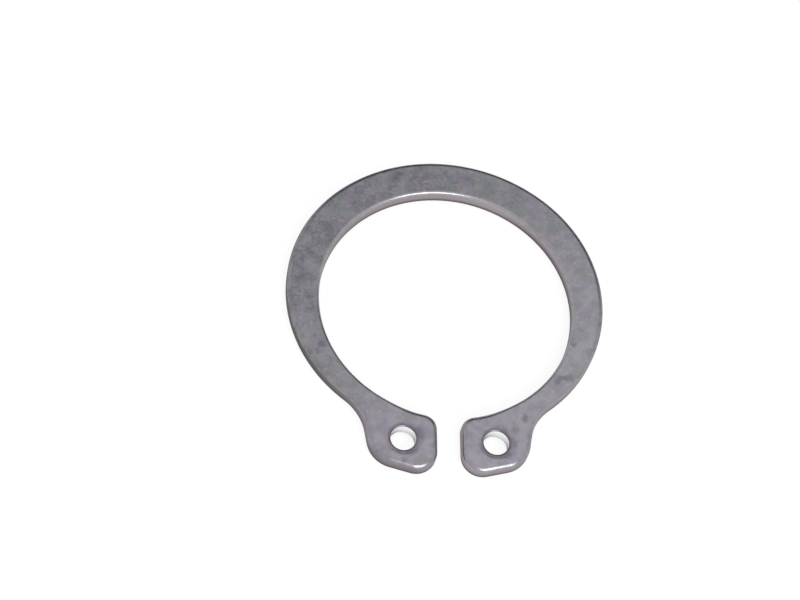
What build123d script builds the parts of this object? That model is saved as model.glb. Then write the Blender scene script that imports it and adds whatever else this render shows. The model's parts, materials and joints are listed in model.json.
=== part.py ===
"""External retaining ring for a grooved 17 mm shaft: one flat blank of spring steel.

The ring lies flat. Its origin is on the axis of the bore, in the lower face, with +Z up
along that axis and the gap between the lugs towards -Y. All lengths are in millimetres.
"""

from build123d import *
import os

os.makedirs("parts", exist_ok=True)

# The ring itself
bore_diameter = 15.7  # free size, before it is opened over the shaft
thickness = 1.0
back_width = 2.4  # radial width opposite the gap
shoulder_width = 2.36  # radial width where the back ends and the tapering flank begins
shoulder_angle = 40  # degrees from the middle of the back round to that place
flank_end_width = 1.08  # radial width where the flank ends, inside the lug
flank_end_angle = 155  # degrees from the middle of the back round to that place

# The lugs
gap_width = 1.45  # free distance between the two lugs
lug_height = 3.8  # from the bore down to the toe, the corner beside the gap
lug_width = 3.92  # from the gap across to the heel, the corner away from it
heel_rise = 1.0  # how much higher the heel stands than the toe
side_lean = 10.0  # degrees that the outer side leans outwards, going up from the heel
throat_radius = 0.9  # bore into gap
toe_radius = 1.25  # gap into foot
heel_radius = 1.8  # foot into outer side
neck_radius = 3.3  # outer side into the flank, hollow

# The holes for the pliers
hole_diameter = 1.5
hole_height = 1.53  # from the bore's lowest level down to the centre of the hole
hole_setback = 2.04  # from the gap across to the centre of the hole

# The edges that the punch leaves
roll_over = 0.38  # rounding of the outline's upper edge
hole_roll_over = 0.24  # rounding of the holes' upper edge
burr_break = 0.17  # bevel of every lower edge, where the burr was tumbled off

bore_radius = bore_diameter / 2
toe = Vector(gap_width / 2, -bore_radius - lug_height)
heel = toe + Vector(lug_width, heel_rise)
lug_top = heel + Vector(0, lug_height).rotate(Axis.Z, -side_lean)
throat = Vector(gap_width / 2, -bore_radius)
hole_centre = throat + Vector(hole_setback, -hole_height)

# The rim is one arc round the back, which runs on smoothly into an arc down each flank
back_middle = Vector(0, bore_radius + back_width)
shoulder = Vector(0, bore_radius + shoulder_width).rotate(Axis.Z, -shoulder_angle)
flank_end = Vector(0, bore_radius + flank_end_width).rotate(Axis.Z, -flank_end_angle)

with BuildPart() as retaining_ring:
    with BuildSketch() as blank:
        # Right half of the ring, still without its bore
        with BuildLine():
            back = TangentArc(back_middle, shoulder, tangent=(1, 0))
            TangentArc(shoulder, flank_end, tangent=back % 1)
            Polyline(flank_end, (0, flank_end.Y), back_middle)
        make_face()
        # Right lug
        with BuildLine():
            Polyline((0, toe.Y), toe, heel, lug_top, (0, lug_top.Y), close=True)
        make_face()
        # Bore, half of the gap, and the corners
        Circle(bore_radius, mode=Mode.SUBTRACT)
        with Locations((0, toe.Y)):
            Rectangle(gap_width, 2 * lug_height + bore_radius, mode=Mode.SUBTRACT)
        for corner, radius in (
            (toe, toe_radius),
            (heel, heel_radius),
            (lug_top, neck_radius),
            (throat, throat_radius),
        ):
            fillet(blank.vertices().sort_by_distance(corner)[0], radius)
        with Locations(hole_centre):
            Circle(hole_diameter / 2, mode=Mode.SUBTRACT)
        mirror(about=Plane.YZ)
    extrude(amount=thickness)

    top = faces().sort_by(Axis.Z)[-1]
    fillet(top.outer_wire().edges(), roll_over)
    top = faces().sort_by(Axis.Z)[-1]
    fillet([edge for wire in top.inner_wires() for edge in wire.edges()], hole_roll_over)
    chamfer(faces().sort_by(Axis.Z)[0].edges(), burr_break)

retaining_ring.part.label = "retaining_ring"
export_step(retaining_ring.part, "parts/retaining_ring.step")
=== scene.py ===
"""The looks of an external retaining ring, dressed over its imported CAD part. Metres throughout.

The ring lies flat on a pale floor, with the bore's axis on Z and the gap towards -Y.
"""

import json
import math

import bmesh
import bpy
from mathutils import Matrix, Vector
from mathutils.geometry import intersect_line_sphere


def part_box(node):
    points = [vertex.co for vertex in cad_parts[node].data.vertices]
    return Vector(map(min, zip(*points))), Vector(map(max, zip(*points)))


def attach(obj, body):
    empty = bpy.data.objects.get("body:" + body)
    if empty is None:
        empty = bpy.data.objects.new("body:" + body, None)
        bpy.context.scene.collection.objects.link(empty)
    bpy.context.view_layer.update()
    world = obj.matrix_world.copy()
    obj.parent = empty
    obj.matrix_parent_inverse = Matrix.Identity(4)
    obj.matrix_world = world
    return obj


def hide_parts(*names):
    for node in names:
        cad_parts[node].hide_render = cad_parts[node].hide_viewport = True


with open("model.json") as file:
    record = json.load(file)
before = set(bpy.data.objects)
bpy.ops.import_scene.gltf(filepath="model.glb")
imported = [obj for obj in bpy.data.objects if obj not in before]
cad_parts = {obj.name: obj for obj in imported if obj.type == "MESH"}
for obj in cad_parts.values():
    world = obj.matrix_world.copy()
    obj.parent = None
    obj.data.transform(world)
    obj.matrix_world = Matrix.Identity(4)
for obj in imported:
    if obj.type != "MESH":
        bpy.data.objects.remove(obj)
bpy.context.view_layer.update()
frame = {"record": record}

# --- The blank ---------------------------------------------------------------------------------
# The ring is one blank of carbon spring steel strip, punched to shape in a press. Its outline is
# a chain of arcs and straights: the back, the flank, a hollow neck, the lug's heel, foot and toe,
# the throat where the gap opens into the bore, and the bore.

ring_low, ring_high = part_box("retaining_ring")
mounts = {mount["name"]: mount for mount in frame["record"]["mounts"]}

thickness = ring_high.z - ring_low.z
bore_radius = mounts["shaft_seat"]["dims"]["r_mm"] / 1000
shoulder_width = 0.00236  # radial width where the back ends and the tapering flank begins
shoulder_angle = math.radians(40)  # from the middle of the back round to that place
flank_end_width = 0.00108  # radial width where the flank would end, inside the lug
flank_end_angle = math.radians(155)

gap_width = 0.00145
lug_height = 0.0038  # from the bore down to the toe, the corner beside the gap
lug_width = 0.00392  # from the gap across to the heel, the corner away from it
heel_rise = 0.001  # how much higher the heel stands than the toe
side_lean = math.radians(10)  # how far the lug's outer side leans outwards, going up
throat_radius = 0.0009
toe_radius = 0.00125
heel_radius = 0.0018
neck_radius = 0.0033

outline_step = 0.0001  # how finely the arcs are divided
joined = 0.000001  # corners this near to each other are one

up = Vector((0, 1, 0))
toe = Vector((gap_width / 2, -bore_radius - lug_height, 0))
heel = toe + Vector((lug_width, heel_rise, 0))
along_foot = (heel - toe).normalized()
up_the_side = Vector((math.sin(side_lean), math.cos(side_lean), 0))
out_of_foot = Vector((along_foot.y, -along_foot.x, 0))
out_of_side = Vector((up_the_side.y, -up_the_side.x, 0))
out_of_gap = Vector((-1, 0, 0))


def round_the_bore(angle, width):
    """The point at that angle from the middle of the back, and that far outside the bore."""
    return Matrix.Rotation(-angle, 3, "Z") @ up * (bore_radius + width)


def tangent_centre(start, inwards, end):
    """The centre of the arc that leaves start at right angles to inwards, and passes end."""
    chord = end - start
    return start + inwards * chord.length_squared / (2 * chord.dot(inwards))


def corner_centre(corner, one_way, other_way, radius):
    """The centre of the arc that rounds a corner between two straight edges."""
    return corner + (one_way + other_way).normalized() * radius / math.sin(
        one_way.angle(other_way) / 2
    )


def first_crossing(start, direction, centre, radius):
    """The first point of a circle that a straight line from start comes to."""
    crossings = intersect_line_sphere(start, start + direction, centre, radius, False)
    return min(crossings, key=lambda point: (point - start).dot(direction))


back_middle = Vector((0, ring_high.y, 0))
shoulder = round_the_bore(shoulder_angle, shoulder_width)
flank_end = round_the_bore(flank_end_angle, flank_end_width)
back_centre = tangent_centre(back_middle, -up, shoulder)
flank_centre = tangent_centre(shoulder, (back_centre - shoulder).normalized(), flank_end)
flank_radius = (shoulder - flank_centre).length
toe_centre = corner_centre(toe, up, along_foot, toe_radius)
heel_centre = corner_centre(heel, -along_foot, up_the_side, heel_radius)
neck_centre = first_crossing(
    heel + out_of_side * neck_radius, up_the_side, flank_centre, flank_radius + neck_radius
)
neck_start = flank_centre + (neck_centre - flank_centre).normalized() * flank_radius
throat_centre = first_crossing(
    toe - out_of_gap * throat_radius, up, Vector(), bore_radius + throat_radius
)


def draw_straight(outline, corner, end):
    """Draws a straight edge on from the outline's last corner, and returns its new one."""
    drawn = bmesh.ops.extrude_vert_indiv(outline, verts=[corner])["verts"][0]
    drawn.co = end
    return drawn


def draw_arc(outline, corner, centre, end):
    """Draws an arc on from the outline's last corner, and returns its new one."""
    before, after = corner.co - centre, end - centre
    angle = math.atan2(before.cross(after).z, before.dot(after))
    drawn = bmesh.ops.spin(
        outline,
        geom=[corner],
        cent=centre,
        axis=(0, 0, 1),
        angle=angle,
        steps=math.ceil(abs(angle) * before.length / outline_step),
    )
    return drawn["geom_last"][0]


ring = bmesh.new()
corner = ring.verts.new(back_middle)
corner = draw_arc(ring, corner, back_centre, shoulder)
corner = draw_arc(ring, corner, flank_centre, neck_start)
corner = draw_arc(ring, corner, neck_centre, neck_centre - out_of_side * neck_radius)
corner = draw_straight(ring, corner, heel_centre + out_of_side * heel_radius)
corner = draw_arc(ring, corner, heel_centre, heel_centre + out_of_foot * heel_radius)
corner = draw_straight(ring, corner, toe_centre + out_of_foot * toe_radius)
corner = draw_arc(ring, corner, toe_centre, toe_centre + out_of_gap * toe_radius)
corner = draw_straight(ring, corner, throat_centre + out_of_gap * throat_radius)
corner = draw_arc(
    ring,
    corner,
    throat_centre,
    throat_centre - throat_centre.normalized() * throat_radius,
)
draw_arc(ring, corner, Vector(), up * bore_radius)
bmesh.ops.mirror(ring, geom=ring.verts[:] + ring.edges[:], axis="X", merge_dist=joined)
bmesh.ops.remove_doubles(ring, verts=ring.verts, dist=joined)

outline_bottom = ring.edges[:]
raised = bmesh.ops.extrude_edge_only(ring, edges=outline_bottom)["geom"]
outline_top = [piece for piece in raised if isinstance(piece, bmesh.types.BMEdge)]
top_corners = [piece for piece in raised if isinstance(piece, bmesh.types.BMVert)]
bmesh.ops.translate(ring, vec=(0, 0, thickness), verts=top_corners)

# --- The plier holes ---------------------------------------------------------------------------
# One hole is punched through each lug, for the tips of the pliers that open the ring. The punch
# draws the steel down round the hole into a shallow dish, and then shears a straight wall.

hole_radius = mounts["plier_hole_right"]["dims"]["r_mm"] / 1000
hole_centres = [
    Vector((*mounts[name]["pos_m"][:2], 0)) for name in ("plier_hole_left", "plier_hole_right")
]
hole_roll_over = 0.00014  # rounding of the hole's upper edge
burr_break = 0.00017  # rounding of all the lower edges, where the burr was tumbled off
burr_middle = burr_break * 0.29  # how far half-way round it stands back from wall and face
dish_width = 0.00026  # from the roll-over out to the flat
dish_depth = 0.00004
hole_steps = 96  # flats round the hole
dish_steps = 6  # flats across the dish
roll_steps = 8  # flats over a rolled edge, here and along the outline

hole_bottom, hole_top = [], []
for centre in hole_centres:
    profile = [
        Vector((hole_radius + burr_break, 0, 0)),
        Vector((hole_radius + burr_middle, 0, burr_middle)),
        Vector((hole_radius, 0, burr_break)),
    ]
    roll_centre = Vector(
        (hole_radius + hole_roll_over, 0, thickness - dish_depth - hole_roll_over)
    )
    for step in range(roll_steps + 1):
        angle = math.pi / 2 * step / roll_steps
        profile.append(
            roll_centre
            + hole_roll_over * Vector((-math.cos(angle), 0, math.sin(angle)))
        )
    for step in range(1, dish_steps + 1):
        share = step / dish_steps
        profile.append(
            Vector(
                (
                    hole_radius + hole_roll_over + dish_width * share,
                    0,
                    thickness - dish_depth * (1 + math.cos(math.pi * share)) / 2,
                )
            )
        )
    corners = [ring.verts.new(centre + point) for point in profile]
    lines = [ring.edges.new(pair) for pair in zip(corners, corners[1:])]
    bmesh.ops.spin(
        ring,
        geom=corners + lines,
        cent=centre,
        axis=(0, 0, 1),
        angle=math.tau,
        steps=hole_steps,
        use_merge=True,
    )
    open_edges = [
        edge
        for edge in ring.edges
        if edge.is_boundary
        and edge not in outline_top
        and edge not in outline_bottom
        and (edge.verts[0].co - centre).xy.length < 2 * hole_radius
    ]
    hole_bottom += [edge for edge in open_edges if edge.verts[0].co.z < thickness / 2]
    hole_top += [edge for edge in open_edges if edge.verts[0].co.z > thickness / 2]

# --- The faces and edges -----------------------------------------------------------------------
# The two flat faces are the rolled strip's own. Punching rolls the upper edge over all along the
# outline, and leaves a burr below that is tumbled off, so the lower edge is only just rounded.

roll_over = 0.00038  # rounding of the outline's upper edge
burr_steps = 3  # flats over the lower edge

flat_faces = []
for loop in (outline_top + hole_top, outline_bottom + hole_bottom):
    filled = bmesh.ops.triangle_fill(ring, use_beauty=True, edges=loop)["geom"]
    flat_faces += [piece for piece in filled if isinstance(piece, bmesh.types.BMFace)]
for face in ring.faces:
    face.smooth = True
for face in flat_faces:
    face.smooth = False
bmesh.ops.recalc_face_normals(ring, faces=ring.faces)

for edges, width, segments in (
    (outline_top, roll_over, roll_steps),
    (outline_bottom, burr_break, burr_steps),
):
    rounded = bmesh.ops.bevel(
        ring,
        geom=edges,
        offset=width,
        offset_type="OFFSET",
        affect="EDGES",
        segments=segments,
        profile=0.5,
        material=-1,
        clamp_overlap=False,
    )
    for face in rounded["faces"]:
        face.smooth = True

# The bore's edge rolls over less than the outer one, and grows into it at the throats
bore_roll_over = 0.00023
throat_reach = math.radians(14)  # from the middle of the gap round to the throats
bore_reach = math.radians(30)  # and round to where the bore's own edge begins
roll_reach = roll_over * 1.01  # just past the last corner of the rolled edge

for vertex in ring.verts:
    from_bore = vertex.co.xy.length - bore_radius
    from_top = thickness - vertex.co.z
    if max(from_bore, from_top) < roll_reach:
        angle = math.atan2(abs(vertex.co.x), -vertex.co.y)
        share = min(max((angle - throat_reach) / (bore_reach - throat_reach), 0), 1)
        share *= share * (3 - 2 * share)  # eased at both ends
        shrink = 1 - share * (1 - bore_roll_over / roll_over)
        vertex.co.xy *= (bore_radius + from_bore * shrink) / vertex.co.xy.length
        vertex.co.z = thickness - from_top * shrink

ring_mesh = bpy.data.meshes.new("retaining_ring_steel")
ring.to_mesh(ring_mesh)
ring.free()
ring_piece = bpy.data.objects.new("retaining_ring_steel", ring_mesh)
bpy.context.scene.collection.objects.link(ring_piece)

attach(ring_piece, "root")
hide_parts("retaining_ring")

# --- The finish --------------------------------------------------------------------------------
# The hardened ring is phosphated and oiled, which leaves a satin grey skin with dark smudges and
# faint drifts of violet and green. Its rolled edges are rubbed bright in the tumbling barrel, and
# the walls of its holes are burnished by the punch. Painted light lightens the front right and
# the lugs, and painted shade darkens some walls and the dish round each hole.


class Wire:
    """A value on its way through a material's nodes, so that sums on it read as Python."""

    def __init__(self, tree, socket=None):
        self.tree, self.socket = tree, socket

    def node(self, kind, settings, values, output=0):
        """Adds a node, sets it, fills its sockets with values or wires, gives its output."""
        node = self.tree.nodes.new(kind)
        for name, setting in settings.items():
            setattr(node, name, setting)
        for name, value in values.items():
            if isinstance(value, Wire):
                self.tree.links.new(value.socket, node.inputs[name])
            else:
                node.inputs[name].default_value = value
        return Wire(self.tree, node.outputs[output] if node.outputs else None)

    def maths(self, operation, first, second):
        return self.node("ShaderNodeMath", {"operation": operation}, {0: first, 1: second})

    def __add__(self, other):
        return self.maths("ADD", self, other)

    def __radd__(self, other):
        return self.maths("ADD", other, self)

    def __sub__(self, other):
        return self.maths("SUBTRACT", self, other)

    def __rsub__(self, other):
        return self.maths("SUBTRACT", other, self)

    def __mul__(self, other):
        return self.maths("MULTIPLY", self, other)

    def __rmul__(self, other):
        return self.maths("MULTIPLY", other, self)

    def __pow__(self, other):
        return self.maths("POWER", self, other)

    def __abs__(self):
        return self.maths("ABSOLUTE", self, 0)


def rise(value, start, end):
    """0 up to start, 1 from end on, and a smooth rise between; start may be above end."""
    return value.node(
        "ShaderNodeMapRange",
        {"interpolation_type": "SMOOTHSTEP"},
        {"Value": value, "From Min": start, "From Max": end},
    )


def noise(place, scale, detail):
    """Cloudy noise from 0 to 1, with that many clouds to a metre."""
    return place.node(
        "ShaderNodeTexNoise", {}, {"Vector": place, "Scale": scale, "Detail": detail}
    )


def mix(share, one, other):
    """A colour between two others."""
    return share.node(
        "ShaderNodeMix", {"data_type": "RGBA"}, {0: share, 6: one, 7: other}, 2
    )


phosphate_dark = (0.161, 0.156, 0.178, 1)
phosphate_light = (0.258, 0.252, 0.274, 1)
phosphate_green = (0.215, 0.238, 0.234, 1)
phosphate_violet = (0.253, 0.224, 0.286, 1)
painted_light_grey = (0.451, 0.433, 0.476, 1)
lilac_painted_lighter = (0.355, 0.312, 0.386, 1)
smudge_dark = (0.114, 0.114, 0.13, 1)
wall_grey = (0.37, 0.325, 0.355, 1)
wall_shade_colour = (0.11, 0.095, 0.105, 1)
hole_shade_colour = (0.132, 0.11, 0.143, 1)
rubbed_steel = (0.36, 0.345, 0.35, 1)
bright_steel = (0.52, 0.5, 0.52, 1)
burnished_steel = (0.97, 0.97, 0.97, 1)

steel = bpy.data.materials.new("phosphated_spring_steel")
steel.use_nodes = True
steel.node_tree.nodes.clear()
ring_mesh.materials.append(steel)

steel_wires = Wire(steel.node_tree)
place = steel_wires.node("ShaderNodeTexCoord", {}, {}, "Object")
across, along, height = (
    place.node("ShaderNodeSeparateXYZ", {}, {"Vector": place}, axis) for axis in "XYZ"
)

# The skin: blotches and grain, painted light that lightens the front right and the lugs, a lilac
# tint towards the lugs, drifts, smudges and bright specks. Each mask runs from 0 to 1, and its
# share is how strongly its colour covers what is under it.
blotches = noise(place, scale=1300, detail=4)
grain = noise(place, scale=5000, detail=3)
drift = noise(place, scale=950, detail=2)
# Painted light: lighter to the front right, where the light falls
painted_light_side = rise(across - along, -0.014, 0.018)
towards_lugs = rise(along, -0.005, -0.01)
violet_drift = rise(drift, 0.49, 0.66)
green_drift = rise(drift, 0.51, 0.34)
smudges = rise(noise(place, scale=1500, detail=3) * 0.75 + blotches * 0.25, 0.43, 0.31)
specks = rise(noise(place, scale=3400, detail=1), 0.68, 0.76) * (0.4 + painted_light_side * 0.6)

colour = mix(
    rise(blotches * 0.55 + grain * 0.45, 0.38, 0.62), phosphate_dark, phosphate_light
)
# Painted light: the face is lightened to the front right
colour = mix(painted_light_side * 0.52, colour, painted_light_grey)
# A lilac tint towards the lugs, and painted light that makes the lugs lighter
colour = mix(towards_lugs * 0.45, colour, lilac_painted_lighter)
colour = mix(violet_drift * 0.55, colour, phosphate_violet)
colour = mix(green_drift * 0.55, colour, phosphate_green)
colour = mix(smudges * 0.5, colour, smudge_dark)
colour = mix(specks, colour, rubbed_steel)

# The sheared walls, by their height above the card. The outer one has painted shade to the left
# and right and at the left lug's foot, for the shadowed card it would reflect there, and every
# wall has painted shade low down, near the card.
off_the_back = rise(height, 0, 0.00002)
whole_wall = rise(height, thickness - 0.00012, thickness - 0.0004) * off_the_back
upper_wall = rise(height, thickness - 0.00008, thickness - 0.0003) * off_the_back
lower_wall = rise(height, 0.0008, 0.0003) * off_the_back
low_wall_shade = rise(height, 0.0005, 0.00014) * off_the_back

from_axis = (across**2 + along**2) ** 0.5
outer_wall = rise(from_axis, 0.0084, 0.009)
left_wall_shade = outer_wall * rise(across, -0.003, -0.009)
right_wall_shade = rise(across, 0.003, 0.0065) * rise(along, -0.004, -0.002)
left_foot_shade = rise(from_axis, 0.0106, 0.0112) * rise(across, -0.0012, -0.0022)
side_wall_shade = left_wall_shade * 0.4 + right_wall_shade * outer_wall * 0.6

# Painted shade: the walls are darkened where they would reflect the shadowed card
colour = mix(whole_wall, colour, mix(left_wall_shade * 0.75, wall_grey, wall_shade_colour))
colour = mix(upper_wall * side_wall_shade, colour, wall_shade_colour)
colour = mix(lower_wall * right_wall_shade * 0.5, colour, wall_shade_colour)
colour = mix(left_foot_shade * upper_wall * 0.4, colour, wall_shade_colour)
# Painted shade along the bottom of every wall, where it meets the card
colour = mix(low_wall_shade * 0.85, colour, wall_shade_colour)

# Painted shade in the dish round each hole, set off to the right and darkest at the hole's edge
shade_offset = 0.00018  # how far to the right of its hole each patch of painted shade lies
right_hole = hole_centres[1]
from_hole, from_shade_middle = (
    ((abs(across - shift) - right_hole.x) ** 2 + (along - right_hole.y) ** 2) ** 0.5
    for shift in (0, shade_offset)
)
shade_round_hole = rise(from_shade_middle + blotches * 0.0004, hole_radius + 0.00075, hole_radius + 0.00035)
hole_roll_end = hole_radius + hole_roll_over
rim_shade = rise(from_hole, hole_roll_end + 0.0001, hole_roll_end)
colour = mix(shade_round_hole * (0.15 + rise(drift, 0.4, 0.6) * 0.35), colour, hole_shade_colour)
colour = mix(rim_shade * 0.6, colour, hole_shade_colour)

# The rolled edges, by their height: rubbed in streaks and specks, and brightest along the bore
rolled = rise(height, thickness, thickness - 0.00003) * rise(
    height, thickness - 0.0003, thickness - 0.00018
)
off_the_hole = rise(from_hole, hole_radius + 0.0003, hole_radius + 0.0005)
wear = 0.2 + rise(noise(place, scale=1900, detail=2), 0.44, 0.6) * 0.8
rubbed = rolled * wear * off_the_hole
bore_edge = rolled * rise(from_axis, bore_radius + 0.0004, bore_radius + 0.0002)
colour = mix(rubbed * 0.4, colour, rubbed_steel)
colour = mix(bore_edge * (0.42 - right_wall_shade * 0.25), colour, bright_steel)

# The holes' walls, which the punch burnished bright
hole_wall = rise(from_hole, hole_radius + 0.00002, hole_radius + 0.000005)
colour = mix(hole_wall, colour, burnished_steel)

# Below the smooth top of the outer walls the steel broke off, which leaves it rougher
torn = rise(height, thickness * 0.45, thickness * 0.2) * off_the_back * (1 - hole_wall)
drawn_out = place.node(
    "ShaderNodeMapping", {"vector_type": "TEXTURE"}, {"Vector": place, "Scale": (1, 1, 12)}
)
streaks = noise(drawn_out, scale=9000, detail=2)
uneven = noise(place, scale=2200, detail=3) * 0.6 + grain * 0.3 + streaks * torn * 0.8
bumps = place.node(
    "ShaderNodeBump", {}, {"Strength": 0.12, "Distance": 0.00003, "Height": uneven}
)
satin = (
    0.35 + grain * 0.08 + torn * 0.06 - rolled * 0.08 - rubbed * 0.1 - hole_wall * 0.3
)

steel_shader = place.node(
    "ShaderNodeBsdfPrincipled",
    {},
    {
        "Base Color": colour,
        "Metallic": 1,
        "Roughness": satin,
        "Specular Tint": (0.5, 0.5, 0.5, 1),
        "Normal": bumps,
    },
)
place.node("ShaderNodeOutputMaterial", {}, {"Surface": steel_shader})

# --- The floor ---------------------------------------------------------------------------------
# A sheet of white card under the ring. The eye and the steel see it as white, with the ring's
# shadow still on it.

floor_half = 1.5  # half the length of its sides
floor_drop = 0.00001  # how far under the ring it lies
card_white = (0.85, 0.85, 0.85, 1)
card_glow = 1.1
card_glow_share = 0.75  # how much of the card's look is that glow, the rest being lit card

floor = bmesh.new()
bmesh.ops.create_grid(floor, x_segments=1, y_segments=1, size=floor_half)
bmesh.ops.translate(floor, vec=(0, 0, ring_low.z - floor_drop), verts=floor.verts)
floor_mesh = bpy.data.meshes.new("floor")
floor.to_mesh(floor_mesh)
floor.free()
floor_piece = bpy.data.objects.new("floor", floor_mesh)
bpy.context.scene.collection.objects.link(floor_piece)

card = bpy.data.materials.new("white_card")
card.use_nodes = True
card.node_tree.nodes.clear()
floor_mesh.materials.append(card)
card_wires = Wire(card.node_tree)
seen_by_eye = card_wires.node("ShaderNodeLightPath", {}, {}, "Is Camera Ray")
seen_in_steel = card_wires.node("ShaderNodeLightPath", {}, {}, "Is Glossy Ray")
seen_through = card_wires.node("ShaderNodeLightPath", {}, {}, "Is Transmission Ray")
card_shader = card_wires.node(
    "ShaderNodeMixShader",
    {},
    {
        "Fac": (seen_by_eye + seen_in_steel + seen_through) * card_glow_share,
        1: card_wires.node("ShaderNodeBsdfDiffuse", {}, {"Color": card_white}),
        2: card_wires.node("ShaderNodeEmission", {}, {"Strength": card_glow}),
    },
)
card_wires.node("ShaderNodeOutputMaterial", {}, {"Surface": card_shader})

# --- The light ---------------------------------------------------------------------------------
# A pale dome, dark low down behind the ring where the room shows. A strip in front draws the
# highlights on the rolled edges, with a wide fill round it and a weak light above and behind.


def softbox(name, azimuth, elevation, distance, width, height, level):
    """An area light that faces the ring, as bright as level times a white card."""
    light = bpy.data.lights.new(name, "AREA")
    light.shape = "RECTANGLE"
    light.size, light.size_y = width, height
    light.energy = level * width * height * math.pi
    lamp = bpy.data.objects.new(name, light)
    turn, tilt = math.radians(azimuth), math.radians(elevation)
    towards = Vector(
        (
            math.sin(turn) * math.cos(tilt),
            -math.cos(turn) * math.cos(tilt),
            math.sin(tilt),
        )
    )
    lamp.location = towards * distance
    lamp.rotation_euler = towards.to_track_quat("Z", "Y").to_euler()
    lamp.visible_camera = False
    bpy.context.scene.collection.objects.link(lamp)


softbox(
    "strip_in_front", azimuth=21, elevation=30, distance=0.6, width=0.46, height=0.3, level=3.7
)
softbox(
    "fill_in_front", azimuth=25, elevation=35, distance=0.7, width=0.9, height=0.5, level=0.25
)
softbox(
    "light_behind", azimuth=150, elevation=66, distance=0.6, width=0.5, height=0.5, level=0.25
)

dome_level = 1.1
dark_level = 0.04
dark_way = (0.28, 0.96, 0)  # from the ring towards the middle of the dark part
dark_sides = (0.55, 0.85)  # cosines from that way at which the dark begins, and is whole
dark_heights = (0.8, 0.42)  # heights on the dome, of radius 1, at which it does so

world = bpy.data.worlds.new("studio")
bpy.context.scene.world = world
world.use_nodes = True
world.node_tree.nodes.clear()
dome_wires = Wire(world.node_tree)
dome_way = dome_wires.node("ShaderNodeTexCoord", {}, {}, "Generated")
dome_height = dome_wires.node("ShaderNodeSeparateXYZ", {}, {"Vector": dome_way}, "Z")
dark_side = dome_wires.node(
    "ShaderNodeVectorMath", {"operation": "DOT_PRODUCT"}, {0: dome_way, 1: dark_way}, "Value"
)
dark = rise(dark_side, *dark_sides) * rise(dome_height, *dark_heights)
dome_shader = dome_wires.node(
    "ShaderNodeBackground",
    {},
    {"Strength": dome_level - dark * (dome_level - dark_level)},
)
dome_wires.node("ShaderNodeOutputWorld", {}, {"Surface": dome_shader})

# --- The camera --------------------------------------------------------------------------------
# A close view from above, from a little to the left of the gap, with the camera tilted.

view_azimuth = math.radians(-13.686)
view_elevation = math.radians(59.257)
view_roll = math.radians(15.336)
view_distance = 0.11104
view_aside = 0.00274454  # how far the camera's axis passes to the left of the bore's axis
view_above = 0.00054286  # and above it
view_lens = 81  # in millimetres, on a sensor 36 wide

back = Vector(
    (
        math.sin(view_azimuth) * math.cos(view_elevation),
        -math.cos(view_azimuth) * math.cos(view_elevation),
        math.sin(view_elevation),
    )
)
level = Vector((math.cos(view_azimuth), math.sin(view_azimuth), 0))
turned = Matrix.Rotation(view_roll, 3, back)
right = turned @ level
top = back.cross(right)

camera_data = bpy.data.cameras.new("camera")
camera_data.sensor_width = 36
camera_data.lens = view_lens
camera_data.clip_start = 0.001
camera_data.clip_end = 10
camera = bpy.data.objects.new("camera", camera_data)
bpy.context.scene.collection.objects.link(camera)
camera.matrix_world = Matrix.Translation(
    back * view_distance - right * view_aside + top * view_above
) @ Matrix((right, top, back)).transposed().to_4x4()
bpy.context.scene.camera = camera
bpy.context.scene.view_settings.view_transform = "Standard"
